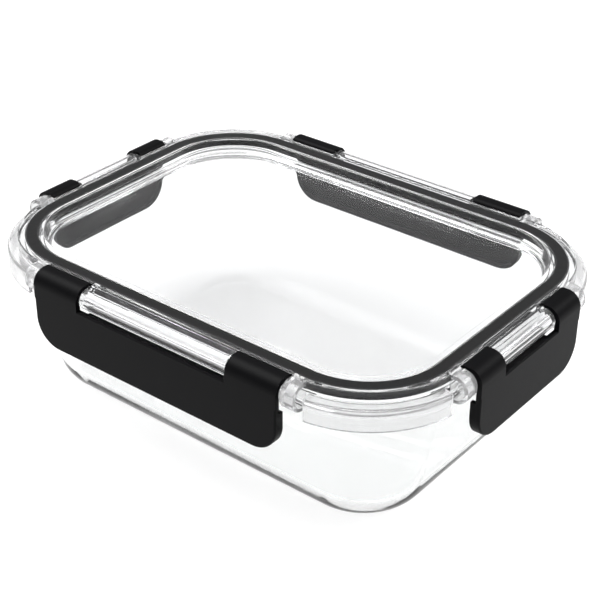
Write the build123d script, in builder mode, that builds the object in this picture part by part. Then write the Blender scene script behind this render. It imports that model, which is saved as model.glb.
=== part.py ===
from build123d import *
import os

# Snap-lid glass food container, millimetres.
# Origin: bottom centre of the bowl, +X along the long side, +Z up.
# Plan outlines are rounded rectangles grown outward from the gasket's outer edge. Side details are drawn
# in planes where x is the distance outward from that edge and y is the height above the rim top.

# ---- driving dimensions ----
rim_z = 66.5  # top of the lid's rim
seal_x, seal_y, seal_r = 94.5, 68.7, 35.0  # gasket's outer edge: half sizes and corner radius

rim_out, rim_in = 2.8, -7.5  # outer and inner edge of the lid's rim
wall_gap = 0.1  # outward from the gasket to the lid's outer wall
channel_in = -5.4  # channel side of the lid's inner wall
rib_in, rib_low = -7.0, 8.5  # locating rib that drops inside the glass
plate_t, panel_t = 1.6, 1.8
wall_depth, recess_depth = 9.3, 5.5
recess_slope = 15.0  # degrees
pocket_out, pocket_ease = 1.4, 1.2  # rim wall behind the hinge knuckles, and its eased top edge

gasket_w, gasket_depth = 5.2, 4.4

land_depth = 4.7  # rim top to the glass edge
ledge_out, ledge_top, ledge_low = 3.0, 9.6, 13.0
neck_out = -0.4
shoulder_out, shoulder_r = -0.7, 33.4  # bowl's wall right under the ledge
base_x, base_y, base_r = 83.2, 57.4, 24.0  # bowl's wall carried down to the base plane
glass_t, floor_t = 4.0, 5.0
base_round, inner_round = 15.0, 11.0

pivot_out, pivot_depth = 3.9, 1.3
bar_r, bore_r, barrel_r = 1.1, 1.18, 2.2
snap_slot = 1.7  # opening that clips over the bar
side_gap = 0.3

boss_middle, boss_reach, boss_depth, ear_depth = 4.7, 4.9, 8.5, 10.5
shell_t = 1.4
boss_slot = 3.2  # the boss is open underneath
ear_len = 5.8
skirt_out, skirt_top, skirt_low = 7.0, 4.0, 12.9
skirt_from_x, skirt_from_y = 64.8, 42.0

flap_out, flap_t, flap_low = 11.0, 2.0, 28.5
cutout_depth = 7.6  # top edge of the flap between the knuckles
bend_r = 5.5
flap_corner = 10.5
lip_reach, lip_t, lip_top = 7.0, 1.5, 12.0
hook_depth, hook_tip, hook_t = 13.4, 1.0, 1.2

# side: outward direction, half width of the latch, half width of the clear boss, half width of the hook
sides = {
    "front": ((0, -1, 0), 56.9, 34.6, 38.0),
    "back": ((0, 1, 0), 56.9, 34.6, 38.0),
    "left": ((-1, 0, 0), 32.5, 17.25, 21.0),
    "right": ((1, 0, 0), 32.5, 17.25, 21.0),
}

os.makedirs("parts", exist_ok=True)


def outline(grow, mode=Mode.ADD):
    RectangleRounded(2 * (seal_x + grow), 2 * (seal_y + grow), seal_r + grow, mode=mode)


def level(depth):
    """Horizontal plane at a depth under the rim top."""
    return Plane.XY.offset(rim_z - depth)


def side_origin(outward):
    return (outward[0] * seal_x, outward[1] * seal_y, rim_z)


def profile_plane(outward):
    """Section across a side: x outward, y up."""
    return Plane(side_origin(outward), x_dir=outward, z_dir=Vector(outward).cross(Vector(0, 0, 1)))


def facing_plane(outward):
    """Seen from outside: x along the side, y up, normal outward."""
    return Plane(side_origin(outward), x_dir=Vector(0, 0, 1).cross(Vector(outward)), z_dir=outward)


def half_oval(depth, flat_at, shrink=0.0):
    """Boss section: flat on the rim side and round outward."""
    with Locations((boss_middle, -depth / 2)):
        Ellipse(boss_reach - shrink, depth / 2 - shrink)
        Rectangle(boss_middle - flat_at, depth - 2 * shrink, align=(Align.MAX, Align.CENTER))
    with Locations((flat_at, -depth / 2)):
        Rectangle(depth, 2 * depth, align=(Align.MAX, Align.CENTER), mode=Mode.SUBTRACT)
    # clear of the glass ledge
    with Locations((ledge_out + 0.4, -wall_depth)):
        Rectangle(depth, depth, align=(Align.MAX, Align.MAX), mode=Mode.SUBTRACT)


# ---- glass bowl ----
with BuildPart() as glass_bowl:
    with BuildSketch(level(ledge_low)):
        outline(ledge_out)
    extrude(amount=ledge_low - ledge_top)
    fillet(glass_bowl.edges().filter_by(Axis.Z, reverse=True), 1.2)
    with BuildSketch(level(ledge_low)):
        outline(neck_out)
    extrude(amount=ledge_low - land_depth)
    with BuildSketch(Plane.XY):
        RectangleRounded(2 * base_x, 2 * base_y, base_r)
    with BuildSketch(level(ledge_low - 1.0)):
        RectangleRounded(2 * (seal_x + shoulder_out), 2 * (seal_y + shoulder_out), shoulder_r)
    loft(ruled=True)
    fillet(glass_bowl.faces().sort_by(Axis.Z)[0].edges(), base_round)
    # the space inside: a straight mouth, then walls that follow the outside
    with BuildSketch(Plane.XY.offset(floor_t)):
        RectangleRounded(2 * (base_x - 3.1), 2 * (base_y - 3.1), base_r - 3.1)
    with BuildSketch(level(ledge_low)):
        outline(shoulder_out - glass_t - 0.4)
    loft(ruled=True, mode=Mode.SUBTRACT)
    with BuildSketch(level(ledge_low)):
        outline(shoulder_out - glass_t - 0.4)
    extrude(amount=ledge_low, mode=Mode.SUBTRACT)
    fillet(glass_bowl.edges().filter_by_position(Axis.Z, floor_t - 0.01, floor_t + 0.01), inner_round)
    fillet(glass_bowl.faces().sort_by(Axis.Z)[-1].edges(), 1.2)
glass_bowl.part.label = "glass_bowl"
export_step(glass_bowl.part, "parts/glass_bowl.step")

# ---- gasket ----
with BuildPart() as gasket:
    with BuildSketch(level(gasket_depth)):
        outline(0)
        outline(-gasket_w, mode=Mode.SUBTRACT)
    extrude(amount=gasket_depth - plate_t)
    fillet(gasket.faces().sort_by(Axis.Z)[0].edges(), 0.8)
gasket.part.label = "gasket"
export_step(gasket.part, "parts/gasket.step")

# ---- corner skirts of the lid ----
with BuildPart() as skirts:
    with BuildSketch(level(skirt_low)):
        outline(skirt_out)
    extrude(amount=skirt_low - skirt_top)
    fillet(skirts.edges().group_by(Axis.Z)[-1], 1.0)
    with BuildSketch(level(skirt_low)):
        outline(skirt_out - shell_t)
    extrude(amount=skirt_low - skirt_top - shell_t, mode=Mode.SUBTRACT)
    with BuildSketch(level(skirt_low)):
        outline(pocket_out)
    extrude(amount=skirt_low, mode=Mode.SUBTRACT)
    # only the four corners stay
    with BuildSketch(level(skirt_low)):
        Rectangle(2 * skirt_from_x, 300)
        Rectangle(300, 2 * skirt_from_y)
    extrude(amount=skirt_low, mode=Mode.SUBTRACT)

# ---- clear lid ----
with BuildPart() as lid:
    with BuildSketch(level(wall_depth)):
        outline(rim_out)
    extrude(amount=wall_depth)
    # channel for the gasket, then the sunken panel and its locating rib
    with BuildSketch(level(wall_depth)):
        outline(wall_gap)
    extrude(amount=wall_depth - plate_t, mode=Mode.SUBTRACT)
    with BuildSketch(level(recess_depth + panel_t)):
        outline(channel_in)
    extrude(amount=recess_depth + panel_t)
    with BuildSketch(level(rib_low)):
        outline(channel_in)
        outline(rib_in, mode=Mode.SUBTRACT)
    extrude(amount=rib_low - recess_depth)
    with BuildSketch(level(0)):
        outline(rim_in)
    extrude(amount=-recess_depth, taper=recess_slope, mode=Mode.SUBTRACT)
    fillet(
        lid.edges().filter_by_position(Axis.Z, rim_z - recess_depth - 0.01, rim_z - recess_depth + 0.01),
        1.6,
    )
    fillet(lid.edges().filter_by_position(Axis.Z, rim_z - 0.01, rim_z + 0.01), 1.0)
    # the rim wall steps back behind each hinge knuckle, with its top edge eased for the swing
    for outward, half, boss, hook in sides.values():
        for end in (-1, 1):
            knuckle = (half + side_gap - boss) / 2
            middle = end * (boss + knuckle)
            with BuildSketch(profile_plane(outward).offset(middle)):
                with Locations((pocket_out, 1)):
                    Rectangle(4, wall_depth + 2, align=(Align.MIN, Align.MAX))
                with Locations((pocket_out - pocket_ease, 0)):
                    Rectangle(2, 2, align=(Align.MIN, Align.CENTER))
                with Locations((pocket_out - pocket_ease, -pocket_ease)):
                    Circle(pocket_ease, mode=Mode.SUBTRACT)
            extrude(amount=knuckle, both=True, mode=Mode.SUBTRACT)
    add(skirts.part)
    for outward, half, boss, hook in sides.values():
        section = profile_plane(outward)
        # hollow boss between the knuckles, open underneath
        with BuildSketch(section):
            half_oval(boss_depth, pocket_out)
        extrude(amount=boss, both=True)
        with BuildSketch(section):
            half_oval(boss_depth, rim_out, shrink=shell_t)
            with Locations((rim_out, -boss_depth / 2)):
                Rectangle(boss_slot, boss_depth, align=(Align.MIN, Align.MAX))
        extrude(amount=boss - shell_t, both=True, mode=Mode.SUBTRACT)
        for end in (-1, 1):
            ear_from = half + side_gap
            # hollow ear outside the knuckle, open towards the corner
            with BuildSketch(section.offset(end * ear_from)):
                half_oval(ear_depth, pocket_out)
            extrude(amount=end * ear_len)
            with BuildSketch(section.offset(end * (ear_from + shell_t))):
                half_oval(ear_depth, rim_out, shrink=shell_t)
            extrude(amount=end * ear_len, mode=Mode.SUBTRACT)
            # hinge bar from boss to ear
            with BuildSketch(section.offset(end * (boss - 0.5))):
                with Locations((pivot_out, -pivot_depth)):
                    Circle(bar_r)
            extrude(amount=end * (ear_from - boss + 1.0))
lid.part.label = "lid"
export_step(lid.part, "parts/lid.step")

# ---- four latches ----
band_top = barrel_r - pivot_depth
bend_x, bend_y = flap_out - bend_r, band_top - bend_r
for side, (outward, half, boss, hook) in sides.items():
    with BuildPart() as latch:
        section = profile_plane(outward)
        facing = facing_plane(outward)
        # flap with rounded lower corners
        with BuildSketch(facing.offset(flap_out)):
            with Locations((0, -flap_low)):
                RectangleRounded(2 * half, 60, flap_corner, align=(Align.CENTER, Align.MIN))
            with Locations((0, -cutout_depth)):
                Rectangle(200, 60, align=(Align.CENTER, Align.MIN), mode=Mode.SUBTRACT)
        extrude(amount=-flap_t)
        # stiffening lip round its edge
        with BuildSketch(facing.offset(flap_out)):
            with Locations((0, -flap_low)):
                RectangleRounded(2 * half, 60, flap_corner, align=(Align.CENTER, Align.MIN))
            with Locations((0, -flap_low + lip_t)):
                RectangleRounded(
                    2 * (half - lip_t),
                    60,
                    flap_corner - lip_t,
                    align=(Align.CENTER, Align.MIN),
                    mode=Mode.SUBTRACT,
                )
            with Locations((0, -lip_top)):
                Rectangle(200, 60, align=(Align.CENTER, Align.MIN), mode=Mode.SUBTRACT)
        extrude(amount=lip_reach - flap_out)
        # two knuckles: a barrel that clips over the bar, and a band that bends down into the flap
        for end in (-1, 1):
            inner_end = boss + side_gap
            with BuildSketch(section.offset(end * inner_end)):
                with BuildLine():
                    Polyline(
                        (flap_out - flap_t, bend_y),
                        (flap_out - flap_t, -cutout_depth - 2),
                        (flap_out, -cutout_depth - 2),
                        (flap_out, bend_y),
                    )
                    CenterArc((bend_x, bend_y), bend_r, 0, 90)
                    Polyline(
                        (bend_x, band_top),
                        (pivot_out, band_top),
                        (pivot_out, band_top - flap_t),
                        (bend_x, band_top - flap_t),
                    )
                    CenterArc((bend_x, bend_y), bend_r - flap_t, 90, -90)
                make_face()
                with Locations((pivot_out, -pivot_depth)):
                    Circle(barrel_r)
                    Circle(bore_r, mode=Mode.SUBTRACT)
                    Rectangle(
                        snap_slot, barrel_r + 1, align=(Align.CENTER, Align.MAX), mode=Mode.SUBTRACT
                    )
            extrude(amount=end * (half - inner_end))
        # outer edges softened
        outer = latch.faces().filter_by(Plane(origin=(0, 0, 0), z_dir=outward)).sort_by(
            Axis((0, 0, 0), outward)
        )[-1]
        fillet(outer.edges().filter_by(lambda e: e.center().Z < rim_z - cutout_depth + 0.01), 0.7)
        # rib that hooks under the glass ledge
        with BuildSketch(section):
            Polygon(
                (flap_out - flap_t + 0.2, -hook_depth),
                (hook_tip, -hook_depth),
                (hook_tip, -hook_depth - hook_t),
                (flap_out - flap_t + 0.2, -hook_depth - 4.5),
                align=None,
            )
        extrude(amount=hook, both=True)
    latch.part.label = f"latch_{side}"
    export_step(latch.part, f"parts/latch_{side}.step")
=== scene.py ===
import math

import bmesh
import bpy
from mathutils import Matrix, Vector


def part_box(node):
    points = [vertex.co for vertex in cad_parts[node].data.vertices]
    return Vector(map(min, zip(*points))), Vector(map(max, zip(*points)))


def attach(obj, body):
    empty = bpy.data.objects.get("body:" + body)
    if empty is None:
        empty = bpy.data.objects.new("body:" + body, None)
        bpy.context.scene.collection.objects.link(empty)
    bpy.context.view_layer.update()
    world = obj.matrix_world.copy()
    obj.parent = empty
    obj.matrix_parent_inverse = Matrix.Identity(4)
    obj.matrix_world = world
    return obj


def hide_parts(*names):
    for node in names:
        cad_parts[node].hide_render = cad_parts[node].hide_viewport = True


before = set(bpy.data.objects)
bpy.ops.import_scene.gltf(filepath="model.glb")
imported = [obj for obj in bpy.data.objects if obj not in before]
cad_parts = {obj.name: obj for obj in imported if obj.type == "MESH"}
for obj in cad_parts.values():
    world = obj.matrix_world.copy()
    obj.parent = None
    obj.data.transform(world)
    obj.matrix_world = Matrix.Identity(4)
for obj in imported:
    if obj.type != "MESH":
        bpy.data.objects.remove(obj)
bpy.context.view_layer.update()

# ---- driving dimensions, in millimetres, heights measured down from the rim top ----
MM = 0.001
RIM_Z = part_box("lid")[1][2] / MM  # top of the lid's rim
SEAL_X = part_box("gasket")[1][0] / MM
SEAL_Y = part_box("gasket")[1][1] / MM
SEAL_R = 35.0
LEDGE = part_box("glass_bowl")[1][0] / MM - SEAL_X
LAND = RIM_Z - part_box("glass_bowl")[1][2] / MM  # rim top to the glass edge
GASKET_LOW = RIM_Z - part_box("gasket")[0][2] / MM
FLAP_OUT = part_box("latch_right")[1][0] / MM - SEAL_X
FLAP_LOW = RIM_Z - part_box("latch_right")[0][2] / MM
LONG_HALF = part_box("latch_front")[1][0] / MM
SHORT_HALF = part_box("latch_right")[1][1] / MM
LEDGE_TOP, LEDGE_LOW = 9.6, 13.0
GLASS_EDGE = 1.2  # rounding of the bowl's sealing edge, ledge and neck
LONG_BOSS, SHORT_BOSS = 34.6, 17.25
BOSS_DEPTH, EAR_DEPTH, EAR_LEN = 8.5, 10.5, 5.8
SHELL = 1.4  # wall of the hollow bosses and ears
RIM_OUT, POCKET_OUT = 2.8, 1.4
CHANNEL_TOP = 1.6
SKIRT_OUT, SKIRT_TOP, SKIRT_LOW = 7.0, 4.0, 12.9
SKIRT_FROM_X, SKIRT_FROM_Y = 64.8, 42.0
PIVOT_OUT, PIVOT_DEPTH = 3.9, 1.3
BAR_R, BORE_R, BARREL_R = 1.1, 1.18, 2.2
SNAP_HALF = 0.85  # half width of the slot that clips over the bar
SIDE_GAP = 0.3

# side: outward direction, half width of its latch, half width of its boss, half width of its hook
SIDES = {
    "right": (0, SHORT_HALF, SHORT_BOSS, 21.0),
    "back": (1, LONG_HALF, LONG_BOSS, 38.0),
    "left": (2, SHORT_HALF, SHORT_BOSS, 21.0),
    "front": (3, LONG_HALF, LONG_BOSS, 38.0),
}
CORNER_STEPS = 32
SHARP_ANGLE = math.radians(30)
INSET = 0.01  # joined solids never share a plane, which would confuse the boolean


# ---- mesh helpers ----
def rounded_ring(half_x, half_y, radius, stations=None, pocket_half=None):
    """Points of a rounded rectangle, anticlockwise from the +X side.

    stations gives extra points on each straight side as (distance along, in a pocket). In a pocket the
    outline steps back to pocket_half, the half sizes there.
    """
    points = []
    for quarter in range(4):
        turn = quarter * math.pi / 2
        normal = Vector((math.cos(turn), math.sin(turn)))
        along = Vector((-math.sin(turn), math.cos(turn)))
        across, length = (half_x, half_y) if quarter % 2 == 0 else (half_y, half_x)
        straight = length - radius
        extra = stations[quarter] if stations else []
        for distance, sunk in [(-straight, False)] + extra + [(straight, False)]:
            reach = pocket_half[quarter % 2] if sunk and pocket_half else across
            points.append(normal * reach + along * distance)
        centre = normal * (across - radius) + along * straight
        for step in range(1, CORNER_STEPS):
            angle = turn + step / CORNER_STEPS * math.pi / 2
            points.append(centre + radius * Vector((math.cos(angle), math.sin(angle))))
    return points


def seal_ring(grow, stations=None, pocket_grow=None):
    """The gasket's outer outline grown outward by grow, or by pocket_grow inside the pockets."""
    pocket = None if pocket_grow is None else (SEAL_X + pocket_grow, SEAL_Y + pocket_grow)
    return rounded_ring(SEAL_X + grow, SEAL_Y + grow, SEAL_R + grow, stations, pocket)


def join_loops(work, loops, closed=False):
    """Faces between successive loops of vertices. Returns the two end caps, if the ends aren't joined."""
    following = loops[1:] + loops[:1] if closed else loops[1:]
    for low, high in zip(loops, following):
        for i in range(len(low)):
            j = (i + 1) % len(low)
            work.faces.new((low[i], low[j], high[j], high[i]))
    if closed:
        return []
    return [work.faces.new(list(reversed(loops[0]))), work.faces.new(loops[-1])]


def shade(mesh):
    """Smooth shading with sharp edges kept."""
    for polygon in mesh.polygons:
        polygon.use_smooth = True
    mesh.set_sharp_from_angle(angle=SHARP_ANGLE)


def add_object(name, work):
    """Object made from a working mesh."""
    mesh = bpy.data.meshes.new(name)
    work.to_mesh(mesh)
    work.free()
    shade(mesh)
    thing = bpy.data.objects.new(name, mesh)
    bpy.context.scene.collection.objects.link(thing)
    return thing


def skin(name, rings, closed=False):
    """Closed mesh through a list of (ring points, height): capped at both ends, or joined end to end."""
    work = bmesh.new()
    loops = [[work.verts.new((p.x * MM, p.y * MM, z * MM)) for p in points] for points, z in rings]
    join_loops(work, loops, closed)
    bmesh.ops.remove_doubles(work, verts=work.verts, dist=0.001 * MM)
    bmesh.ops.dissolve_degenerate(work, edges=work.edges, dist=0.001 * MM)
    bmesh.ops.recalc_face_normals(work, faces=work.faces)
    return add_object(name, work)


def arc(centre_x, centre_y, radius, start, end, steps=8, radius_y=None):
    """Points on an arc, angles in degrees."""
    tall = radius if radius_y is None else radius_y
    points = []
    for step in range(steps + 1):
        angle = math.radians(start + (end - start) * step / steps)
        points.append((centre_x + radius * math.cos(angle), centre_y + tall * math.sin(angle)))
    return points


def side_frame(quarter):
    """Matrix from a side's own axes (outward, along, up; millimetres) to the row frame."""
    turn = Matrix.Rotation(quarter * math.pi / 2, 4, "Z")
    reach = SEAL_X if quarter % 2 == 0 else SEAL_Y
    return Matrix.Scale(MM, 4) @ turn @ Matrix.Translation((reach, 0, RIM_Z))


def prism(name, quarter, profile, start, end, bevel=0.0):
    """A profile of (outward, height) points carried along a side from start to end."""
    work = bmesh.new()
    loops = [[work.verts.new((u, along, h)) for u, h in profile] for along in (start, end)]
    caps = join_loops(work, loops)
    bmesh.ops.recalc_face_normals(work, faces=work.faces)
    if bevel:
        edges = [edge for cap in caps for edge in cap.edges]
        bmesh.ops.bevel(
            work, geom=edges, offset=bevel, segments=2, profile=0.5, affect="EDGES", clamp_overlap=True
        )
        bmesh.ops.remove_doubles(work, verts=work.verts, dist=0.002)
    work.transform(side_frame(quarter))
    return add_object(name, work)


def combine(base, additions=(), cuts=()):
    """Boolean union of base with additions, less cuts, applied to base's mesh."""
    for operation, tools in (("UNION", additions), ("DIFFERENCE", cuts)):
        if not tools:
            continue
        group = bpy.data.collections.new("tools")
        for tool in tools:
            group.objects.link(tool)
        change = base.modifiers.new("combine", "BOOLEAN")
        change.operation = operation
        change.operand_type = "COLLECTION"
        change.collection = group
        change.solver = "EXACT"
        bpy.context.view_layer.update()
        evaluated = base.evaluated_get(bpy.context.evaluated_depsgraph_get())
        result = bpy.data.meshes.new_from_object(evaluated)
        base.modifiers.clear()
        base.data = result
        bpy.data.collections.remove(group)
        for tool in tools:
            bpy.data.objects.remove(tool)
    shade(base.data)
    return base


def even_shading(piece):
    """Broad flat faces keep a flat look next to their rounded edges."""
    shading = piece.modifiers.new("even_shading", "WEIGHTED_NORMAL")
    shading.keep_sharp = True
    return piece


# ---- pieces ----
def glass_bowl():
    draft = math.radians(11.0)
    base_x, base_y, base_r, base_round = 83.2, 57.4, 24.0, 15.0
    inner_x, inner_y, inner_r, inner_round, floor = 80.1, 54.3, 20.9, 11.0, 5.0
    rings = []

    def wall_ring(half_x, half_y, radius, grow, z):
        shrink = grow if grow < 0 else grow * 0.9
        rings.append((rounded_ring(half_x + grow, half_y + grow, radius + shrink), z))

    def foot(half_x, half_y, radius, bend, z0):
        """Rings of the rounded foot from the flat outwards."""
        centre = bend * math.tan(draft) - bend / math.cos(draft)
        for grow, z in arc(centre, z0 + bend, bend, -90, -math.degrees(draft), 14):
            wall_ring(half_x, half_y, radius, grow, z)

    # inside, from the floor up to the mouth
    foot(inner_x, inner_y, inner_r, inner_round, floor)
    mouth = -5.1
    neck_in, neck_round = -0.4, 1.0
    under_ledge = -0.9  # where the wall leaves the ledge's underside
    rings.append((seal_ring(mouth), RIM_Z - LEDGE_LOW))
    edge = GLASS_EDGE
    edge_z = RIM_Z - LAND - edge
    turns = [arc(mouth + edge, edge_z, edge, 180, 90, 6)]
    # sealing edge, neck and the ledge outside
    turns.append(arc(neck_in - edge, edge_z, edge, 90, 0, 6))
    turns.append(arc(neck_in + neck_round, RIM_Z - LEDGE_TOP + neck_round, neck_round, 180, 270, 6))
    turns.append(arc(LEDGE - edge, RIM_Z - LEDGE_TOP - edge, edge, 90, 0, 6))
    turns.append(arc(LEDGE - edge, RIM_Z - LEDGE_LOW + edge, edge, 0, -90, 6))
    turns.append(arc(under_ledge + edge, RIM_Z - LEDGE_LOW - edge, edge, 90, 175, 6))
    for turn in turns:
        rings += [(seal_ring(grow), z) for grow, z in turn]
    # outside wall down to the rounded foot
    outside = len(rings)
    foot(base_x, base_y, base_r, base_round, 0.0)
    rings[outside:] = reversed(rings[outside:])
    return skin("bowl_glass", rings)


def gasket_ring():
    """Soft ring with rounded edges and one shallow groove in its underside."""
    width, top, low = 5.2, RIM_Z - CHANNEL_TOP, RIM_Z - GASKET_LOW
    profile = arc(-0.6, top - 0.6, 0.6, 0, 90, 4) + arc(-width + 0.6, top - 0.6, 0.6, 90, 180, 4)
    profile += arc(-width + 0.8, low + 0.8, 0.8, 180, 270, 4)
    profile += arc(-width / 2, low, 0.5, 180, 0, 6)
    profile += arc(-0.8, low + 0.8, 0.8, 270, 360, 4)
    return skin("seal_ring", [(seal_ring(grow), z) for grow, z in profile], closed=True)


def lid_shell():
    """The lid's skin, from the panel's underside round the channel and rim to the panel's top."""
    soft = 0.4
    panel_under, inner_wall, inner_low = 7.3, (-7.0, -5.4), 8.5
    outer_in, outer_low = 0.1, 9.3
    rim_in, rim_round, pocket_round = -7.5, 1.0, 1.2
    panel_top, panel_round, slope_angle = 5.5, 1.6, 15.0
    stations = []
    for _, half, boss, _ in SIDES.values():
        edge = half + SIDE_GAP
        stations.append(
            [(-edge, False), (-edge, True), (-boss, True), (-boss, False)]
            + [(boss, False), (boss, True), (edge, True), (edge, False)]
        )
    rings = []

    def level(grow, depth, pocket=None):
        rings.append((seal_ring(grow, stations, pocket), RIM_Z - depth))

    # underside: panel, inner wall of the channel, channel and outer wall
    level(inner_wall[0] - soft, panel_under)
    for grow, z in arc(inner_wall[0] - soft, -panel_under - soft, soft, 90, 0, 3):
        level(grow, -z)
    for grow, z in arc(inner_wall[0] + soft, soft - inner_low, soft, 180, 270, 3):
        level(grow, -z)
    for grow, z in arc(inner_wall[1] - soft, soft - inner_low, soft, 270, 360, 3):
        level(grow, -z)
    level(inner_wall[1], CHANNEL_TOP)
    level(outer_in, CHANNEL_TOP)
    for grow, z in arc(outer_in + soft, soft - outer_low, soft, 180, 270, 3):
        level(grow, -z)
    for grow, z in arc(RIM_OUT - soft, soft - outer_low, soft, 270, 360, 3):
        level(grow, -z, grow - (RIM_OUT - POCKET_OUT))
    # outer wall's rounded top edge, stepped back in the knuckle pockets
    rim_edge = arc(RIM_OUT - 0.6, -0.6, 0.6, 0, 90, 8)
    pocket_edge = arc(POCKET_OUT - pocket_round, -pocket_round, pocket_round, 0, 90, 8)
    for (grow, z), (sunk, _) in zip(rim_edge, pocket_edge):
        level(grow, -z, sunk)
    # rim's inner edge, sloping wall and the sunken panel
    tangent = math.tan(math.radians((90 - slope_angle) / 2))
    for grow, z in arc(rim_in + rim_round * tangent, -rim_round, rim_round, 90, 180 - slope_angle, 8):
        level(grow, -z)
    foot = rim_in - panel_top * math.tan(math.radians(slope_angle))
    turn = arc(foot - panel_round * tangent, panel_round - panel_top, panel_round, -slope_angle, -90, 8)
    for grow, z in turn:
        level(grow, -z)
    return skin("lid_clear", rings)


def half_oval(depth, shrink, flat_at):
    """Boss section as (outward, height), flat on the rim side. shrink makes the hollow inside it."""
    middle, reach = 4.7, 4.9
    round_part = arc(middle, -depth / 2, reach - shrink, 90, -90, 24, depth / 2 - shrink)
    return [(flat_at, -shrink - INSET)] + round_part + [(flat_at, shrink - depth + INSET)]


def ear_section(shrink, flat_at):
    """Ear section: it clears the glass ledge at its lower corner."""
    points = half_oval(EAR_DEPTH, shrink, flat_at)
    clear_of = LEDGE + 0.4
    if flat_at < clear_of:
        above_ledge = INSET - 9.3
        points[-1:] = [(clear_of, shrink - EAR_DEPTH), (clear_of, above_ledge), (flat_at, above_ledge)]
    return points


def lid_fittings():
    """(pieces to join to the lid, hollows to cut) for the bosses, ears and hinge bars."""
    joins, cuts = [], []
    flat_at, soft = POCKET_OUT - 0.3, 0.25
    for quarter, half, boss, _ in SIDES.values():
        joins.append(prism("boss", quarter, half_oval(BOSS_DEPTH, 0, flat_at), -boss, boss, soft))
        inner = boss - SHELL
        cuts.append(prism("hollow", quarter, half_oval(BOSS_DEPTH, SHELL, RIM_OUT), -inner, inner))
        slot = [(RIM_OUT, -6), (RIM_OUT, -12), (6.0, -12), (6.0, -6)]
        cuts.append(prism("slot", quarter, slot, -inner, inner))
        for end in (-1, 1):
            near = end * (half + SIDE_GAP)
            far = near + end * EAR_LEN
            joins.append(prism("ear", quarter, ear_section(0, flat_at), near, far, soft))
            hollow = ear_section(SHELL, RIM_OUT)
            cuts.append(prism("ear_hollow", quarter, hollow, near + end * SHELL, far + end))
            bar = arc(PIVOT_OUT, -PIVOT_DEPTH, BAR_R, 0, 345, 23)
            joins.append(prism("bar", quarter, bar, end * (boss - 0.6), near + end * 0.6))
    return joins, cuts


def corner_skirt(quarter):
    """Drip skirt round one corner: flange, rounded edge and a wall hanging outside the glass ledge."""
    wall, root = 1.4, RIM_OUT - 0.6
    profile = [(root, -SKIRT_TOP)]
    profile += arc(SKIRT_OUT - 1.0, -SKIRT_TOP - 1.0, 1.0, 90, 0, 5)
    profile += arc(SKIRT_OUT - 0.3, 0.3 - SKIRT_LOW, 0.3, 0, -90, 3)
    profile += [(SKIRT_OUT - wall, -SKIRT_LOW), (SKIRT_OUT - wall, -SKIRT_TOP - wall)]
    profile += [(root, -SKIRT_TOP - wall)]
    sign_x, sign_y = (1, -1, -1, 1)[quarter], (1, 1, -1, -1)[quarter]
    centre = Vector((sign_x * (SEAL_X - SEAL_R), sign_y * (SEAL_Y - SEAL_R)))
    outer = SEAL_R + SKIRT_OUT
    start = math.asin((SKIRT_FROM_Y - (SEAL_Y - SEAL_R)) / outer)
    end = math.acos((SKIRT_FROM_X - (SEAL_X - SEAL_R)) / outer)
    work = bmesh.new()
    loops = []
    for step in range(CORNER_STEPS + 1):
        angle = start + (end - start) * step / CORNER_STEPS
        direction = Vector((sign_x * math.cos(angle), sign_y * math.sin(angle)))
        loop = []
        for u, h in profile:
            x = centre.x + direction.x * (SEAL_R + u)
            y = centre.y + direction.y * (SEAL_R + u)
            loop.append(work.verts.new((x * MM, y * MM, (RIM_Z + h) * MM)))
        loops.append(loop)
    join_loops(work, loops)
    bmesh.ops.recalc_face_normals(work, faces=work.faces)
    return add_object("skirt", work)


def lid(clear, frosted):
    """Clear lid. Its ears and corner skirts keep the slightly frosted finish of their mould."""
    joins, cuts = lid_fittings()
    joins += [corner_skirt(quarter) for quarter in range(4)]
    shell = lid_shell()
    for piece in [shell] + joins + cuts:
        piece.data.materials.append(clear)
        piece.data.materials.append(frosted)
        if piece.name.startswith(("ear", "skirt")):
            for polygon in piece.data.polygons:
                polygon.material_index = 1
    return even_shading(combine(shell, joins, cuts))


def flap_outline(half, top, low, corner, steps=14):
    """Front view of the flap as (along, height): square top corners and round lower corners."""
    points = [(half, -top), (-half, -top)]
    points += arc(-half + corner, -low + corner, corner, 180, 270, steps)
    points += arc(half - corner, -low + corner, corner, 270, 360, steps)
    return points


def flap_layer(name, quarter, layers):
    """Closed mesh through layers of (outward distance, outline), each outline in (along, height)."""
    work = bmesh.new()
    loops = [[work.verts.new((u, along, h)) for along, h in outline] for u, outline in layers]
    join_loops(work, loops)
    bmesh.ops.recalc_face_normals(work, faces=work.faces)
    work.transform(side_frame(quarter))
    return add_object(name, work)


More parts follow.
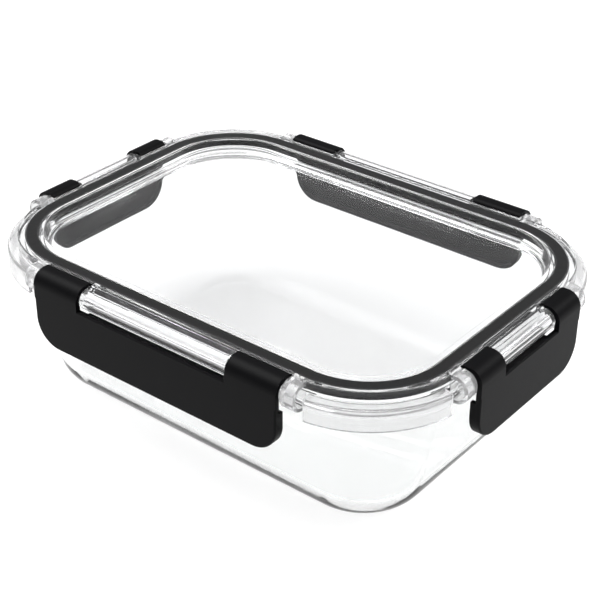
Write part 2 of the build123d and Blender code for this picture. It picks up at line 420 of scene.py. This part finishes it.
def latch(side):
    quarter, half, boss, hook_half = SIDES[side]
    wall, lip, corner, edge, shoulder = 2.0, 1.5, 10.5, 0.7, 6.0
    cutout, lip_top, lip_reach = 7.6, 12.0, 7.0
    # flap with a softened outer edge, its top cut away between the knuckles
    layers = [(FLAP_OUT - wall, flap_outline(half, shoulder, FLAP_LOW, corner))]
    for inset, out in arc(edge, FLAP_OUT - edge, edge, 180, 90, 5):
        layers.append((out, flap_outline(half - inset, shoulder, FLAP_LOW - inset, corner - inset)))
    flap = flap_layer(f"latch_{side}_plastic", quarter, layers)
    notch_half = boss + SIDE_GAP
    notch = [(FLAP_OUT - 3, 0), (FLAP_OUT + 1, 0), (FLAP_OUT + 1, -cutout - 1.5)]
    notch += [(FLAP_OUT - 0.5, -cutout), (FLAP_OUT - 3, -cutout)]
    combine(flap, cuts=[prism("notch", quarter, notch, -notch_half, notch_half)])
    # lip round the back of the flap
    outside = flap_outline(half - INSET, lip_top, FLAP_LOW - INSET, corner)
    ring = flap_layer("lip", quarter, [(lip_reach, outside), (FLAP_OUT - 1.0, outside)])
    within = flap_outline(half - lip, lip_top - 3, FLAP_LOW - lip, corner - lip)
    inside = flap_layer("lip_inside", quarter, [(lip_reach - 1, within), (FLAP_OUT - 1.5, within)])
    combine(ring, cuts=[inside])
    joins = [ring]
    # knuckles: a bent band, then the barrel with its snap-in slot, as one outline
    bend, top = 5.5, 0.9
    face, back = FLAP_OUT - INSET, FLAP_OUT - wall + INSET
    bend_out, bend_up = face - bend, top - bend
    slot_angle = math.degrees(math.asin(SNAP_HALF / BARREL_R))
    bore_angle = math.degrees(math.asin(SNAP_HALF / BORE_R))
    outline = [(face, -9.6)] + arc(bend_out, bend_up, bend, 0, 90, 14)
    outline += arc(PIVOT_OUT, -PIVOT_DEPTH, BARREL_R, 90, 270 - slot_angle, 20)
    outline += arc(PIVOT_OUT, -PIVOT_DEPTH, BORE_R, 270 - bore_angle, -90 + bore_angle, 24)
    outline += arc(PIVOT_OUT, -PIVOT_DEPTH, BARREL_R, -90 + slot_angle, -6, 8)
    outline += arc(bend_out, bend_up, back - bend_out, 77, 0, 12) + [(back, -9.6)]
    for end in (-1, 1):
        near, far = end * (notch_half + INSET), end * (half - INSET)
        joins.append(prism("knuckle", quarter, outline, near, far, 0.15))
    rib = [(9.2, -13.4), (1.3, -13.4)] + arc(1.6, -14.1, 0.6, 150, 270, 5) + [(9.2, -17.9)]
    joins.append(prism("hook", quarter, rib, -hook_half, hook_half))
    return even_shading(combine(flap, joins))


# ---- materials ----
def new_material(name):
    material = bpy.data.materials.new(name)
    material.use_nodes = True
    nodes = material.node_tree.nodes
    return material, material.node_tree, nodes["Principled BSDF"]


def noise_bump(tree, shader, scale, strength, distance=0.0002, detail=3.0):
    where = tree.nodes.new("ShaderNodeTexCoord")
    noise = tree.nodes.new("ShaderNodeTexNoise")
    noise.inputs["Scale"].default_value = scale
    noise.inputs["Detail"].default_value = detail
    bump = tree.nodes.new("ShaderNodeBump")
    bump.inputs["Strength"].default_value = strength
    bump.inputs["Distance"].default_value = distance
    tree.links.new(where.outputs["Object"], noise.inputs["Vector"])
    tree.links.new(noise.outputs["Fac"], bump.inputs["Height"])
    tree.links.new(bump.outputs["Normal"], shader.inputs["Normal"])
    return noise


def varied(tree, shader, socket, noise, low, high):
    ramp = tree.nodes.new("ShaderNodeMapRange")
    ramp.inputs["To Min"].default_value = low
    ramp.inputs["To Max"].default_value = high
    tree.links.new(noise.outputs["Fac"], ramp.inputs["Value"])
    tree.links.new(ramp.outputs["Result"], shader.inputs[socket])


def clear_material(name, tint, ior, ripple, clarity, gloss, rough=(0.0, 0.03)):
    material, tree, shader = new_material(name)
    shader.inputs["Base Color"].default_value = tint
    shader.inputs["Transmission Weight"].default_value = clarity
    shader.inputs["IOR"].default_value = ior
    shader.inputs["Specular Tint"].default_value = (gloss, gloss, gloss, 1)
    noise = noise_bump(tree, shader, 60.0, ripple, 0.0003, 1.0)
    varied(tree, shader, "Roughness", noise, *rough)
    return material


def toned(tree, shader, noise, dark, light):
    """Base colour that wanders between two tones."""
    tone = tree.nodes.new("ShaderNodeValToRGB")
    tone.color_ramp.elements[0].color = dark
    tone.color_ramp.elements[1].color = light
    tree.links.new(noise.outputs["Fac"], tone.inputs["Fac"])
    tree.links.new(tone.outputs["Color"], shader.inputs["Base Color"])


def latch_plastic():
    material, tree, shader = new_material("latch_plastic_black")
    shader.inputs["Specular IOR Level"].default_value = 0.06
    noise = noise_bump(tree, shader, 2600.0, 0.2, 0.00005, 2.0)
    varied(tree, shader, "Roughness", noise, 0.36, 0.5)
    toned(tree, shader, noise, (0.0025, 0.0025, 0.003, 1), (0.005, 0.005, 0.0055, 1))
    return material


def gasket_rubber():
    material, tree, shader = new_material("gasket_silicone")
    shader.inputs["Specular IOR Level"].default_value = 0.3
    noise = noise_bump(tree, shader, 900.0, 0.2, 0.0001)
    varied(tree, shader, "Roughness", noise, 0.55, 0.7)
    toned(tree, shader, noise, (0.010, 0.010, 0.011, 1), (0.018, 0.018, 0.019, 1))
    return material


def floor_material():
    material, tree, shader = new_material("studio_floor")
    shader.inputs["Base Color"].default_value = (0.35, 0.35, 0.35, 1)
    shader.inputs["Specular IOR Level"].default_value = 0.1
    shader.inputs["Emission Color"].default_value = (1, 1, 1, 1)
    shader.inputs["Emission Strength"].default_value = 0.82
    noise = noise_bump(tree, shader, 40.0, 0.02, 0.0002)
    varied(tree, shader, "Roughness", noise, 0.75, 0.85)
    return material


def place(piece, body, node, material=None):
    """Put a finished piece on its body, in place of its CAD node."""
    if material:
        piece.data.materials.clear()
        piece.data.materials.append(material)
    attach(piece, body)
    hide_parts(node)


# ---- studio ----
def studio():
    bpy.ops.mesh.primitive_plane_add(size=8.0, location=(0, 0, -0.0002))
    floor = bpy.context.object
    floor.name = "studio_floor"
    floor.data.materials.append(floor_material())

    world = bpy.data.worlds.new("studio")
    bpy.context.scene.world = world
    world.use_nodes = True
    tree = world.node_tree
    where = tree.nodes.new("ShaderNodeTexCoord")
    split = tree.nodes.new("ShaderNodeSeparateXYZ")
    ramp = tree.nodes.new("ShaderNodeValToRGB")
    ramp.color_ramp.elements[0].position = 0.62
    ramp.color_ramp.elements[0].color = (0.2, 0.2, 0.205, 1)
    ramp.color_ramp.elements[1].position = 0.85
    ramp.color_ramp.elements[1].color = (1.0, 1.0, 1.0, 1)
    tree.links.new(where.outputs["Generated"], split.inputs["Vector"])
    tree.links.new(split.outputs["Z"], ramp.inputs["Fac"])
    tree.links.new(ramp.outputs["Color"], tree.nodes["Background"].inputs["Color"])
    tree.nodes["Background"].inputs["Strength"].default_value = 1.1


def softbox(name, position, aim, size, power):
    light = bpy.data.lights.new(name, "AREA")
    light.shape = "RECTANGLE"
    light.size, light.size_y = size
    light.energy = power
    lamp = bpy.data.objects.new(name, light)
    lamp.location = position
    lamp.rotation_euler = (Vector(aim) - Vector(position)).to_track_quat("-Z", "Y").to_euler()
    bpy.context.scene.collection.objects.link(lamp)


def camera():
    position = (0.30224, -0.37599, 0.32993)
    azimuth, elevation, roll = math.radians(38.45), math.radians(31.0), math.radians(0.32)
    back = Vector(
        (
            math.sin(azimuth) * math.cos(elevation),
            -math.cos(azimuth) * math.cos(elevation),
            math.sin(elevation),
        )
    )
    right = Vector((math.cos(azimuth), math.sin(azimuth), 0))
    up = back.cross(right)
    right_rolled = right * math.cos(roll) + up * math.sin(roll)
    up_rolled = -right * math.sin(roll) + up * math.cos(roll)
    lens = bpy.data.cameras.new("view")
    lens.sensor_width = 36.0
    lens.lens = 87.18
    eye = bpy.data.objects.new("view", lens)
    turn = Matrix((right_rolled, up_rolled, back)).transposed().to_4x4()
    eye.matrix_world = Matrix.Translation(position) @ turn
    bpy.context.scene.collection.objects.link(eye)
    bpy.context.scene.camera = eye


glass = clear_material("bowl_glass_clear", (0.985, 0.992, 0.99, 1), 1.48, 0.05, 1.0, 0.12)
plastic = clear_material("lid_plastic_clear", (0.965, 0.965, 0.97, 1), 1.46, 0.03, 0.98, 0.3)
moulded = clear_material(
    "lid_plastic_moulded", (0.94, 0.94, 0.945, 1), 1.46, 0.05, 0.84, 0.5, (0.1, 0.18)
)
black = latch_plastic()

place(glass_bowl(), "bowl", "glass_bowl", glass)
place(lid(plastic, moulded), "cover", "lid")
place(gasket_ring(), "cover", "gasket", gasket_rubber())
for side in SIDES:
    place(latch(side), f"{side}_latch", f"latch_{side}", black)

studio()
softbox("key", (-0.5, -0.2, 0.9), (0, 0, 0.05), (0.7, 0.7), 9.0)
softbox("fill", (0.7, 0.6, 0.8), (0, 0, 0.05), (0.8, 0.5), 7.0)
camera()
bpy.context.scene.view_settings.view_transform = "Standard"
# light crosses many clear walls before it leaves the bowl
bpy.context.scene.cycles.max_bounces = 32
bpy.context.scene.cycles.transmission_bounces = 32
bpy.context.scene.cycles.glossy_bounces = 16
